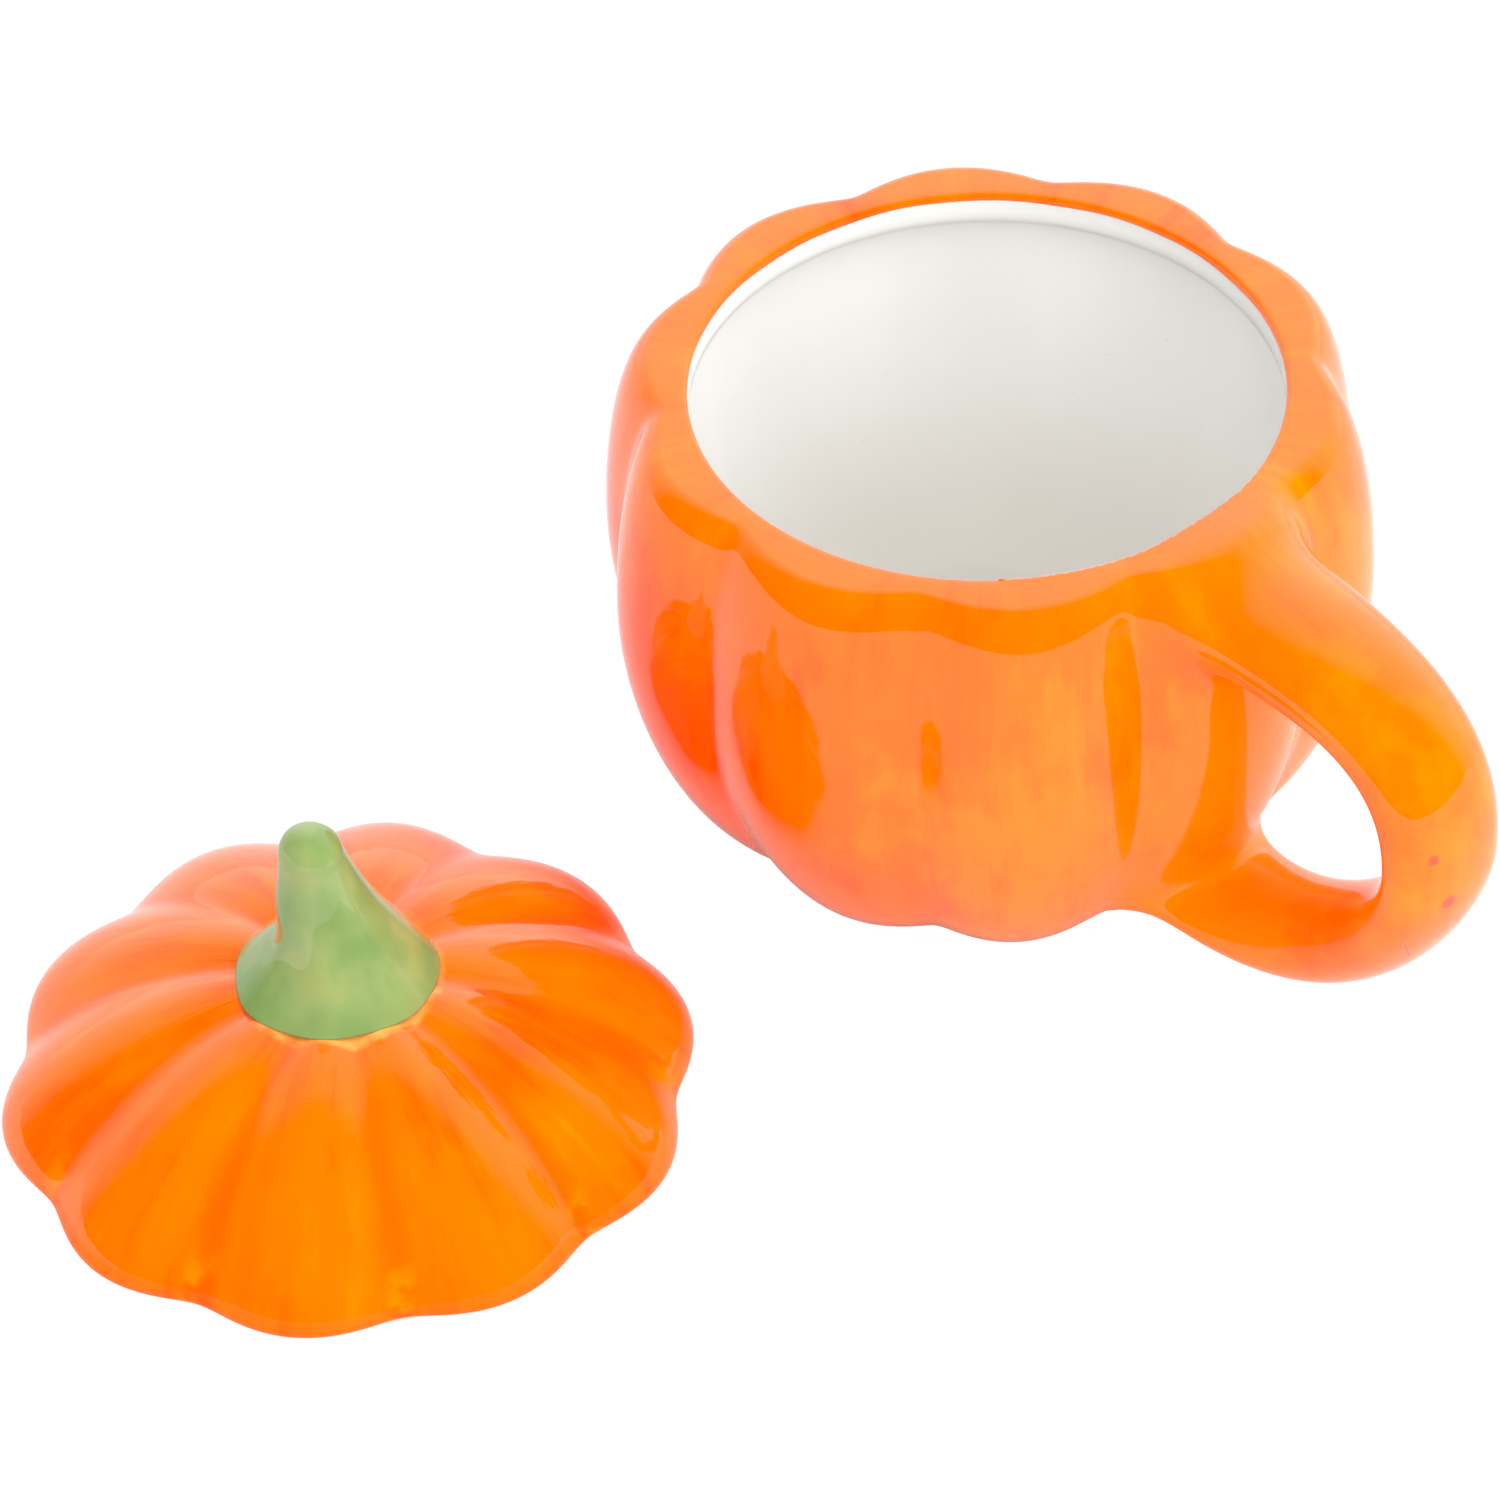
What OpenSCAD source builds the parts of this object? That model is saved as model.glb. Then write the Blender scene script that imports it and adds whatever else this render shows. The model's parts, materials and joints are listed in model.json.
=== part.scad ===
// Pumpkin mug with a loose lid, both upright on a table: the lid stands beside the mug on its collar.
// Origin: centre of the mug's foot, on the table. +Z is up and the handle points along +X.

/* [Mug] */
// Radius over the ribs at the widest part of the mug
body_r = 60; // [56:0.5:64]
// Height of the rim above the table
rim_h = 84.7; // [80:0.1:90]
// Height of the widest part of the mug
belly_h = 53.6; // [50:0.2:56]
// Radius of the round mouth
mouth_r = 45.4; // [44:0.1:46]
// Width of the level band round the mouth, over a rib
land_w = 6.3; // [5.5:0.1:7]
// Depth of the straight neck that guides the lid
neck_h = 5.5; // [5:0.5:7]
// Outer radius of the foot ring
foot_r = 30; // [28:0.5:32]
// Height of the foot ring
foot_h = 2.2; // [1.5:0.1:3]

/* [Ribs] */
// Number of ribs on the mug, and on the lid
ribs = 10; // [8:1:12]
// Depth of the grooves at the widest part of the mug
groove = 3.6; // [2.5:0.1:4]
// Depth of the grooves at the foot
foot_groove = 3; // [2:0.1:3.5]
// Depth of the grooves where they cut into the level band
land_groove = 3; // [2:0.1:3.5]
// Softness of the mug's groove bottoms, from sharp to round
groove_soft = 0.16; // [0.02:0.01:0.5]
// Angle of one groove on the mug, counted from the handle
mug_turn = -19.4; // [-24:0.1:-14]

/* [Walls] */
// Thickness of the clay wall at the bottom of the mug
floor_t = 4; // [3:0.5:5]
// Thickness of the white lining
lining_t = 1.2; // [0.8:0.1:1.6]
// Radius of the white lining's outside at the widest part of the mug
lining_r = 52; // [50.5:0.1:53]

/* [Handle] */
// Height of the centre line where the upper end enters the wall
handle_top = 75.3; // [74:0.1:76]
// Height of the centre line where the lower end enters the wall
handle_low = 15.4; // [14.5:0.1:16]
// Reach of the centre line from the mug's axis
handle_reach = 95.8; // [90:0.2:98]

/* [Lid] */
// Radius over the ribs of the lid
lid_r = 53; // [52:0.1:55]
// Height from the lid's underside to its widest part
lip_h = 3.2; // [2:0.1:4]
// Height from the lid's underside to the root of the stem
dome_h = 25.2; // [23:0.2:27]
// Radius of the stem's root
stem_r = 14.5; // [13:0.1:15]
// Height of the stem
stem_h = 27.8; // [25:0.2:32]
// Depth of the lid's grooves at its edge
lid_edge_groove = 2.9; // [1:0.1:3.2]
// Depth of the lid's grooves at the root of the stem
lid_root_groove = 1; // [0:0.1:1.5]
// Softness of the lid's groove bottoms
lid_soft = 0.34; // [0.1:0.02:0.5]
// Angle of one groove on the lid
lid_turn = -30.8; // [-36:0.1:-24]
// Outer radius of the locating collar
collar_r = 44.6; // [43:0.1:44.9]
// Inner radius of the locating collar
collar_bore_r = 41; // [40:0.5:41.5]
// Height of the locating collar
collar_h = 5; // [4:0.5:5.5]

/* [Placing] */
// Place of the lid on the table, along the handle's direction
lid_x = -16; // [-20:0.5:0]
// Place of the lid on the table, across the handle's direction
lid_y = -119.4; // [-140:0.1:-118]

/* [Hidden] */
$fn = 96;

// Facets round one rib, and so round a whole ribbed ring
rib_steps = 8;
ring_steps = ribs * rib_steps;
// A ring of facets has to clear the smooth lining inside it, with a hair to spare
ring_grow = 1 / cos(180 / ring_steps);
hair = 0.03;

belly_steps = 7;
shoulder_steps = 8;
lining_steps = 9;
dome_steps = 9;
hollow_steps = 7;
handle_steps = 10;
handle_facets = 20;
stem_steps = 10;
tip_steps = 5;
stem_facets = 24;

// The level band starts to round off a little below the rim
land_drop = 0.1;
land_r = mouth_r + land_w;
neck_wall = lining_t;
lining_floor_r = 27;
hollow_h = 20;
foot_ring_w = 4.5;
rest_w = 4.6;

function point_on_cubic(p, t) =
    pow(1 - t, 3) * p[0] + 3 * pow(1 - t, 2) * t * p[1] + 3 * (1 - t) * t * t * p[2] + pow(t, 3) * p[3];
function cubic(p, steps) = [for (i = [0 : steps]) point_on_cubic(p, i / steps)];
function without_first(list) = [for (i = [1 : len(list) - 1]) list[i]];
function without_last(list) = [for (i = [0 : len(list) - 2]) list[i]];

// How far a surface has fallen from the rib's crest: 0 at the crest, 1 at the groove
function fall(angle, turn, soft) =
    let (wave = pow(sin(ribs / 2 * (angle - turn)), 2))
    1 - (sqrt(wave + soft * soft) - soft) / (sqrt(1 + soft * soft) - soft);

// Mug outline over a rib: [radius, height], from the foot up to the level band
function belly_curve() = cubic([
    [foot_r, foot_h],
    [foot_r + 0.6 * (body_r - foot_r), foot_h],
    [body_r, 0.575 * belly_h],
    [body_r, belly_h]], belly_steps);
function shoulder_curve() = cubic([
    [body_r, belly_h],
    [body_r, belly_h + 0.38 * (rim_h - belly_h)],
    [land_r + 0.7 * (body_r - land_r), rim_h],
    [land_r, rim_h - land_drop]], shoulder_steps);
function mug_groove(p) = p[1] < belly_h
    ? foot_groove + (groove - foot_groove) * p[1] / belly_h
    : land_groove + (groove - land_groove) * (p[0] - land_r) / (body_r - land_r);

// Outline of the white lining's outside, from the floor up to the rim
function lining_outside() = concat(
    cubic([
        [lining_floor_r, foot_h + floor_t],
        [lining_floor_r + 16, foot_h + floor_t],
        [lining_r, 0.6 * belly_h],
        [lining_r, belly_h + 6]], lining_steps),
    [[mouth_r + neck_wall + 2.6, rim_h - neck_h - 4],
    [mouth_r + neck_wall, rim_h - neck_h - 1],
    [mouth_r + neck_wall, rim_h]]);
function lining_inside() = concat(
    cubic([
        [lining_floor_r, foot_h + floor_t + lining_t],
        [lining_floor_r + 15.4, foot_h + floor_t + lining_t],
        [lining_r - lining_t, 0.6 * belly_h],
        [lining_r - lining_t, belly_h + 6]], lining_steps),
    [[mouth_r + 2.6, rim_h - neck_h - 3],
    [mouth_r, rim_h - neck_h],
    [mouth_r, rim_h]]);

// A ribbed ring of points from an outline point [radius, height, radial groove depth, vertical groove depth]
function ribbed_ring(p, turn, soft) = [
    for (i = [0 : ring_steps - 1])
        let (angle = turn + 360 * i / ring_steps, down = fall(angle, turn, soft), radius = p[0] - p[2] * down)
        [radius * cos(angle), radius * sin(angle), p[1] - p[3] * down]];

// A closed skin over a stack of rings with the same number of points, flat at both ends
module skin(rings) {
    count = len(rings[0]);
    last = len(rings) - 1;
    points = [for (ring = rings) each ring];
    first_cap = [for (i = [0 : count - 1]) i];
    last_cap = [for (i = [count - 1 : -1 : 0]) last * count + i];
    sides = [for (r = [0 : last - 1], i = [0 : count - 1])
        let (a = r * count + i, b = r * count + (i + 1) % count)
        each [[a, a + count, b], [b, a + count, b + count]]];
    polyhedron(points = points, faces = concat([first_cap], sides, [last_cap]), convexity = 10);
}

module mug_shell() {
    outside = concat(without_last(belly_curve()), shoulder_curve());
    outside_rings = [for (p = outside) ribbed_ring([p[0], p[1], mug_groove(p), 0], mug_turn, groove_soft)];
    inside = lining_outside();
    inside_rings = [for (i = [len(inside) - 1 : -1 : 0])
        ribbed_ring([(inside[i][0] + hair) * ring_grow, inside[i][1], 0, 0], mug_turn, groove_soft)];
    color("darkorange") skin(concat(outside_rings, inside_rings));
}

module mug_lining() {
    inside = lining_inside();
    color("white") rotate_extrude() polygon(concat(
        [[0, foot_h + floor_t]],
        lining_outside(),
        [for (i = [len(inside) - 1 : -1 : 0]) inside[i]],
        [[0, foot_h + floor_t + lining_t]]));
}

module foot_ring() {
    color("linen") rotate_extrude() translate([foot_r - foot_ring_w, 0]) square([foot_ring_w, foot_h]);
}

// Centre line of the handle: [distance from the mug's axis, height, half width, half thickness]
handle_outermost = [handle_reach, 50.4, 11, 5.5];
function handle_path() = concat(
    cubic([
        [52, handle_top, 13.4, 8.4],
        [62.2, handle_top - 1.9, 12.7, 6.8],
        [handle_reach, handle_top + 4.3, 9.6, 6.7],
        handle_outermost], handle_steps),
    without_first(cubic([
        handle_outermost,
        [handle_reach, 34.5, 11.8, 6.1],
        [70.3, handle_low - 6.9, 8, 9.4],
        [45.5, handle_low, 12, 3.3]], handle_steps)));

module handle() {
    path = handle_path();
    rings = [for (i = [0 : len(path) - 1])
        let (
            before = path[max(0, i - 1)],
            after = path[min(len(path) - 1, i + 1)],
            slope = atan2(after[1] - before[1], after[0] - before[0]))
        // Counted backwards, because this skin is stacked along +X first, so that its faces point outward
        [for (k = [0 : handle_facets - 1])
            let (
                angle = -360 * k / handle_facets,
                lift = path[i][3] * cos(angle),
                side = path[i][2] * sin(angle))
            [path[i][0] - lift * sin(slope), side, path[i][1] + lift * cos(slope)]]];
    color("orange") skin(rings);
}

// Lid outline over a rib, from its flat underside round the lip and up to the stem
function lip_curve() = cubic([
    [lid_r - rest_w, 0],
    [lid_r - 1.6, 0],
    [lid_r, 0.4 * lip_h],
    [lid_r, lip_h]], 4);
function dome_curve() = cubic([
    [lid_r, lip_h],
    [lid_r, lip_h + 6.2],
    [32, dome_h],
    [stem_r - 0.5, dome_h]], dome_steps);
function lid_groove(p) =
    let (inward = (lid_r - p[0]) / (lid_r - stem_r + 0.5))
    lid_edge_groove * (1 - inward) + lid_root_groove * inward;
// The share of the groove that goes inward rather than down, by the steepness of the dome
function steepness(p) = pow(min(1, max(0, 1 - (p[1] - lip_h) / (dome_h - lip_h))), 1.5);

function lid_hollow(shrink) = [for (i = [0 : hollow_steps])
    let (angle = 90 * i / hollow_steps)
    [(collar_bore_r - shrink) * cos(angle), (hollow_h - shrink) * sin(angle)]];

module on_table() {
    translate([lid_x, lid_y, collar_h]) children();
}

module lid_shell() {
    lip_rings = [for (p = without_last(lip_curve()))
        ribbed_ring([p[0], p[1], lid_edge_groove, 0], lid_turn, lid_soft)];
    dome_rings = [for (p = dome_curve())
        let (depth = lid_groove(p), share = steepness(p))
        ribbed_ring([p[0], p[1], depth * share, depth * sqrt(1 - share * share)], lid_turn, lid_soft)];
    hollow = without_last(lid_hollow(0));
    hollow_rings = [for (i = [len(hollow) - 1 : -1 : 0])
        ribbed_ring([(hollow[i][0] + hair) * ring_grow, hollow[i][1], 0, 0], lid_turn, lid_soft)];
    seat_ring = ribbed_ring([stem_r - 1.5, dome_h, 0, 0], lid_turn, lid_soft);
    color("darkorange") on_table() skin(concat(hollow_rings, lip_rings, dome_rings, [seat_ring]));
}

module lid_lining() {
    outside = without_last(lid_hollow(0));
    inside = lid_hollow(lining_t);
    color("white") on_table() rotate_extrude() polygon(concat(
        outside,
        [[0, outside[len(outside) - 1][1]]],
        [for (i = [len(inside) - 1 : -1 : 0]) inside[i]]));
}

module lid_collar() {
    color("linen") on_table() translate([0, 0, -collar_h]) difference() {
        cylinder(h = collar_h, r = collar_r);
        translate([0, 0, -1]) cylinder(h = collar_h + 2, r = collar_bore_r);
    }
}

// Stem sections from root to tip: [height, radius, lean]
tip_r = 4.9;
tip_h = 4.9;
stem_lean = 3.2;
// Direction in which the stem leans
lean_turn = 205;
function stem_path() = concat(
    cubic([
        [0, stem_r, 0],
        [0.22 * stem_h, 0.83 * stem_r, 0],
        [0.37 * stem_h, 0.53 * stem_r, 0.3 * stem_lean],
        [stem_h - tip_h, tip_r, 0.85 * stem_lean]], stem_steps),
    [for (i = [1 : tip_steps - 1])
        let (angle = 90 * i / tip_steps)
        [stem_h - tip_h + tip_h * sin(angle), tip_r * cos(angle), (0.85 + 0.15 * sin(angle)) * stem_lean]]);

module stem() {
    rings = [for (p = stem_path())
        [for (k = [0 : stem_facets - 1])
            let (angle = 360 * k / stem_facets)
            [p[2] * cos(lean_turn) + p[1] * cos(angle),
            p[2] * sin(lean_turn) + p[1] * sin(angle),
            p[0]]]];
    color("darkseagreen") on_table() translate([0, 0, dome_h]) skin(rings);
}

mug_shell();
mug_lining();
foot_ring();
handle();
lid_shell();
lid_lining();
lid_collar();
stem();
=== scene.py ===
"""Glazed pumpkin mug and its loose lid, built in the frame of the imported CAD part."""

import json
import math

import bmesh
import bpy
import numpy as np
from mathutils import Matrix, Vector


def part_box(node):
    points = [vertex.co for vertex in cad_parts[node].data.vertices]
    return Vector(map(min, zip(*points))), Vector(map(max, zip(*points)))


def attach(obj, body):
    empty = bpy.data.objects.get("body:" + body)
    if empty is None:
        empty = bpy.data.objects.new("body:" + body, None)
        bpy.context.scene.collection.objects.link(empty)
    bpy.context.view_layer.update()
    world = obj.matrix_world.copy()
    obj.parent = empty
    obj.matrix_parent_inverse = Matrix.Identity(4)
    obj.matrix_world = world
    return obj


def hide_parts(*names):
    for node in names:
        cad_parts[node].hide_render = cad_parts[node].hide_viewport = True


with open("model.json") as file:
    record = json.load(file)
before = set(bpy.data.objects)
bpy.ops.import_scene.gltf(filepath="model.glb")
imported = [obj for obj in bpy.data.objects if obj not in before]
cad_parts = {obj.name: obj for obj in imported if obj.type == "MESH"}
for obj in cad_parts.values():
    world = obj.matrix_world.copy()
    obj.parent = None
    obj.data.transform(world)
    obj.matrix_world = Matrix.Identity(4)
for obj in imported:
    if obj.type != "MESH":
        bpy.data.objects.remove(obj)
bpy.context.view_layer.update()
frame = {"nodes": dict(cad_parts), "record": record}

# ---------------------------------------------------------------- driving sizes, in millimetres unless stated

M_PER_MM = 0.001
MM_PER_M = 1000.0


def box_mm(node):
    """Lowest and highest corner of a CAD node, in millimetres."""
    lo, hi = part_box(node)
    return np.array(lo) * MM_PER_M, np.array(hi) * MM_PER_M


shell_lo, shell_hi = box_mm("mug_shell")
lining_lo, lining_hi = box_mm("mug_lining")
foot_hi = box_mm("foot_ring")[1]
handle_hi = box_mm("handle")[1]
collar_lo, collar_hi = box_mm("lid_collar")
stem_lo, stem_hi = box_mm("stem")
dome_hi = box_mm("lid_shell")[1]
hollow_lo, hollow_hi = box_mm("lid_lining")
mounts = {mount["name"]: mount for mount in frame["record"]["mounts"]}

RIBS = 10
BODY_R = (shell_hi[0] - shell_lo[0]) / 2
RIM_H = shell_hi[2]
FOOT_H = foot_hi[2]
FOOT_R = foot_hi[0]
MOUTH_R = mounts["mouth"]["dims"]["r_mm"]
NECK_H = mounts["mouth"]["dims"]["length_mm"]
LINING_R = lining_hi[0]
BELLY_H = 53.6
WALL_TOP_H = BELLY_H + 6
NECK_FOOT = RIM_H - NECK_H
LAND_W = 6.3
LAND_R = MOUTH_R + LAND_W
LAND_DROP = 0.1
GROOVE = 3.6
FOOT_GROOVE = 3.0
LAND_GROOVE = 3.0
GROOVE_SOFT = 0.16
MUG_TURN = math.radians(-19.4)
FLOOR_H = lining_lo[2]
FLOOR_R = 27
LINING_T = 1.2
HAIR = 0.05
AROUND = 480

LID_AT = np.array([(collar_lo[0] + collar_hi[0]) / 2, (collar_lo[1] + collar_hi[1]) / 2, collar_hi[2]])
COLLAR_R = (collar_hi[0] - collar_lo[0]) / 2
HOLLOW_R = (hollow_hi[0] - hollow_lo[0]) / 2
HOLLOW_H = 20.0
LID_R = 53.0
LIP_H = 2.4
DOME_H = dome_hi[2] - collar_hi[2]
REST_W = 4.6
STEM_R = 14.5
STEM_H = stem_hi[2] - stem_lo[2]
LID_EDGE_GROOVE = 2.9
LID_ROOT_GROOVE = 1.0
LID_SOFT = 0.34
LID_TURN = math.radians(-30.8)

# ---------------------------------------------------------------- curves and skins


def cubic(points, steps):
    """Points along a cubic Bezier curve; a control point may carry any number of values."""
    p = np.array(points, float)
    t = np.linspace(0, 1, steps + 1)[:, None]
    return (1 - t) ** 3 * p[0] + 3 * (1 - t) ** 2 * t * p[1] + 3 * (1 - t) * t * t * p[2] + t ** 3 * p[3]


def chain(*curves):
    """Curves joined end to end, without the points they share."""
    return np.vstack([curves[0]] + [curve[1:] for curve in curves[1:]])


def fall(angle, turn, soft):
    """How far a surface has fallen from a rib's crest: 0 at the crest, 1 at the groove."""
    wave = np.sin(RIBS / 2 * (angle - turn)) ** 2
    return 1 - (np.sqrt(wave + soft * soft) - soft) / (math.sqrt(1 + soft * soft) - soft)


def mesh_object(name, points, faces, at=(0, 0, 0)):
    """A smooth-shaded mesh from points in millimetres, placed at a point in millimetres."""
    mesh = bpy.data.meshes.new(name)
    mesh.from_pydata(((np.asarray(points) + np.asarray(at)) * M_PER_MM).tolist(), [], faces)
    mesh.shade_smooth()
    mesh.validate()
    obj = bpy.data.objects.new(name, mesh)
    bpy.context.scene.collection.objects.link(obj)
    return obj


def skin_faces(rows, columns):
    """Quads between rings of points, with a flat cap over the first and the last ring."""
    faces = [list(range(columns))[::-1]]
    for row in range(rows - 1):
        for column in range(columns):
            a = row * columns + column
            b = row * columns + (column + 1) % columns
            faces.append([a, b, b + columns, a + columns])
    faces.append([(rows - 1) * columns + column for column in range(columns)])
    return faces


def ring_points(radius, height, angles):
    """Rings of points from radius and height arrays of shape (rows, columns)."""
    x = radius * np.cos(angles)
    y = radius * np.sin(angles)
    return np.stack([x, y, np.broadcast_to(height, radius.shape)], -1).reshape(-1, 3)


# ---------------------------------------------------------------- mug wall

mug_angles = MUG_TURN + np.linspace(0, 2 * math.pi, AROUND, endpoint=False)


def belly_curve(steps):
    """Crest outline of the mug from its foot up to its widest point."""
    return cubic([[FOOT_R, FOOT_H], [FOOT_R + 0.6 * (BODY_R - FOOT_R), FOOT_H],
                  [BODY_R, 0.575 * BELLY_H], [BODY_R, BELLY_H]], steps)


def shoulder_curve(steps):
    """Crest outline of the mug from its widest point up to the level band round the mouth."""
    return cubic([[BODY_R, BELLY_H], [BODY_R, BELLY_H + 0.38 * (RIM_H - BELLY_H)],
                  [LAND_R + 0.7 * (BODY_R - LAND_R), RIM_H], [LAND_R, RIM_H - LAND_DROP]], steps)


def mug_groove(radius, height):
    """Radial depth of the mug's grooves at a point of its crest outline."""
    low = FOOT_GROOVE + (GROOVE - FOOT_GROOVE) * height / BELLY_H
    high = LAND_GROOVE + (GROOVE - LAND_GROOVE) * (radius - LAND_R) / (BODY_R - LAND_R)
    return np.where(height < BELLY_H, low, high)


def lining_wall(offset, steps):
    """Outline of the lining's outside, moved inward by offset, from the floor up to the neck."""
    return cubic([[FLOOR_R, FLOOR_H + offset], [FLOOR_R + 16 - 0.5 * offset, FLOOR_H + offset],
                  [LINING_R - offset, 0.6 * BELLY_H], [LINING_R - offset, WALL_TOP_H]], steps)


def neck_step(offset, steps):
    """The undercut below the neck, from the wall's top to the foot of the neck."""
    return cubic([[LINING_R - offset, WALL_TOP_H], [LINING_R - offset, NECK_FOOT - 8],
                  [MOUTH_R + 5.6 - offset, NECK_FOOT - 1.6], [MOUTH_R + LINING_T - offset, NECK_FOOT]], steps)


def lip_waver(height, radius):
    """Lets the hand-painted lower edge of the orange in the mouth run up and down a little."""
    waver_h = 0.17
    on_lip = (np.abs(radius - MOUTH_R) < 0.4) * (height > RIM_H - 2)
    share = np.clip((RIM_H - 0.5 - height) / 0.8, 0, 1) * on_lip
    waver = np.sin(3 * mug_angles + 1) + 0.6 * np.sin(7 * mug_angles + 2) + 0.4 * np.sin(17 * mug_angles)
    return waver_h * share * waver


def make_mug_wall():
    """The mug's outer wall with its level band, closed behind the lining."""
    edge_r = MOUTH_R + 1.3
    lip_r = MOUTH_R - HAIR
    lip_bottom = RIM_H - 1.3
    outer = chain(np.array([[FOOT_R - 3.0, FOOT_H], [FOOT_R, FOOT_H]]), belly_curve(90), shoulder_curve(90))
    land = cubic([[LAND_R, RIM_H - LAND_DROP], [LAND_R - 1.5, RIM_H - 0.05],
                  [edge_r + 1.5, RIM_H], [edge_r, RIM_H - 0.05]], 24)
    lip = cubic([[edge_r, RIM_H - 0.05], [edge_r - 0.9, RIM_H - 0.06],
                 [lip_r, RIM_H - 0.2], [lip_r, lip_bottom]], 12)
    behind = np.array([[MOUTH_R + 0.3, lip_bottom - 0.05], [MOUTH_R + LINING_T + HAIR, lip_bottom - 0.1]])
    inner = chain(lining_wall(-HAIR, 24), neck_step(-HAIR, 12))[::-1]
    outline = np.vstack([outer, land[1:], lip[1:], behind, inner])
    radius, height = outline[:, :1], outline[:, 1:]
    depth = mug_groove(radius, height)
    depth[:2] = 0
    depth[len(outer):] = LAND_GROOVE * np.clip((radius[len(outer):] - edge_r) / (LAND_R - edge_r), 0, 1)
    depth[len(outer) + len(land):] = 0
    drop = fall(mug_angles, MUG_TURN, GROOVE_SOFT)[None, :]
    points = ring_points(radius - depth * drop, height + lip_waver(height, radius), mug_angles)
    return mesh_object("mug_body", points, skin_faces(len(outline), AROUND))


# ---------------------------------------------------------------- handle

HANDLE_OUTER_T = 5.5
HANDLE_REACH = handle_hi[0] - HANDLE_OUTER_T
HANDLE_TOP = 75.3
HANDLE_LOW = 15.4
HANDLE_STEPS = 80
HANDLE_FACETS = 72
FILLET = 9.0
JOIN_REACH = 30
ON_SKIN = 0.4
COVERED = 0.003
WELD_MM = 0.35
RELAX_ROUNDS = 10


def handle_path(steps):
    """Centre line of the handle: distance from the axis, height, half width, half thickness."""
    outermost = [HANDLE_REACH, 50.4, 11, HANDLE_OUTER_T]
    upper = cubic([[52, HANDLE_TOP, 13.4, 8.4], [62.2, HANDLE_TOP - 1.9, 12.7, 6.8],
                   [HANDLE_REACH, HANDLE_TOP + 4.3, 9.6, 6.7], outermost], steps)
    lower = cubic([outermost, [HANDLE_REACH, 34.5, 11.8, 6.1],
                   [70.3, HANDLE_LOW - 6.9, 8, 9.4], [45.5, HANDLE_LOW, 12, 3.3]], steps)
    return chain(upper, lower)


def make_handle():
    """The handle as a closed sweep that ends inside the wall."""
    path = handle_path(HANDLE_STEPS)
    along = np.gradient(path[:, :2], axis=0)
    along /= np.linalg.norm(along, axis=1)[:, None]
    angle = np.linspace(0, 2 * math.pi, HANDLE_FACETS, endpoint=False)
    lift = path[:, 3:4] * np.cos(angle)
    side = path[:, 2:3] * np.sin(angle)
    x = path[:, 0:1] - lift * along[:, 1:2]
    z = path[:, 1:2] + lift * along[:, 0:1]
    points = np.stack([x, side, z], -1).reshape(-1, 3)
    faces = skin_faces(len(path), HANDLE_FACETS)
    return mesh_object("handle", points, [face[::-1] for face in faces])


def line_distance(points, line):
    """Distance from 2D points to a polyline, the nearest place along it, and the side they lie on."""
    start, step = line[:-1], np.diff(line, axis=0)
    away = points[:, None, :] - start[None]
    share = np.clip((away * step).sum(-1) / (step * step).sum(-1), 0, 1)
    offset = away - share[..., None] * step
    squared = (offset * offset).sum(-1)
    nearest = squared.argmin(1)
    rows = np.arange(len(points))
    near_offset, near_step = offset[rows, nearest], step[nearest]
    side = near_step[:, 0] * near_offset[:, 1] - near_step[:, 1] * near_offset[:, 0]
    return np.sqrt(squared[rows, nearest]), nearest + share[rows, nearest], np.sign(side)


flat_band = np.array([[LAND_R, RIM_H - LAND_DROP], [MOUTH_R, RIM_H]])
body_outline = chain(belly_curve(60), shoulder_curve(60), flat_band)
handle_line = handle_path(60)


def body_field(points):
    """Signed distance, nearly, from the mug's ribbed outside; negative inside."""
    radius = np.hypot(points[:, 0], points[:, 1])
    angle = np.arctan2(points[:, 1], points[:, 0])
    height = points[:, 2]
    crest_r = np.interp(height, body_outline[:-1, 1], body_outline[:-1, 0])
    depth = mug_groove(crest_r, height)
    flat = np.stack([radius + depth * fall(angle, MUG_TURN, GROOVE_SOFT), height], -1)
    distance, _, side = line_distance(flat, body_outline)
    return -distance * side


def handle_field(points):
    """Signed distance, nearly, from the handle's oval sweep; negative inside."""
    distance, place, _ = line_distance(points[:, [0, 2]], handle_line[:, :2])
    station = np.arange(len(handle_line))
    half_w = np.interp(place, station, handle_line[:, 2])
    half_t = np.interp(place, station, handle_line[:, 3])
    local = np.stack([distance, points[:, 1]], -1)
    k0 = np.sqrt((local[:, 0] / half_t) ** 2 + (local[:, 1] / half_w) ** 2) + 1e-9
    k1 = np.sqrt((local[:, 0] / half_t ** 2) ** 2 + (local[:, 1] / half_w ** 2) ** 2) + 1e-9
    return k0 * (k0 - 1) / k1


def joined_field(points):
    """The two fields joined with a fillet."""
    a, b = body_field(points), handle_field(points)
    mix = np.clip(FILLET - np.abs(a - b), 0, None) / FILLET
    return np.minimum(a, b) - mix ** 3 * FILLET / 6


def field_slope(field, points):
    """Gradient of a field by central differences."""
    step = 0.05
    slope = np.zeros_like(points)
    for axis in range(3):
        shift = np.zeros(3)
        shift[axis] = step
        slope[:, axis] = (field(points + shift) - field(points - shift)) / (2 * step)
    return slope


def in_fillet(points):
    """Which points lie on the two skins where the fillet covers them."""
    near = np.where((points[:, 0] > JOIN_REACH) & (np.abs(points[:, 1]) < JOIN_REACH))[0]
    raw = np.minimum(body_field(points[near]), handle_field(points[near]))
    near = near[np.abs(raw) < ON_SKIN]
    return near[joined_field(points[near]) < -COVERED]


def onto_fillet(points):
    """One Newton step towards the filleted surface."""
    slope = field_slope(joined_field, points)
    return points - (joined_field(points) / (slope * slope).sum(1))[:, None] * slope


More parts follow.
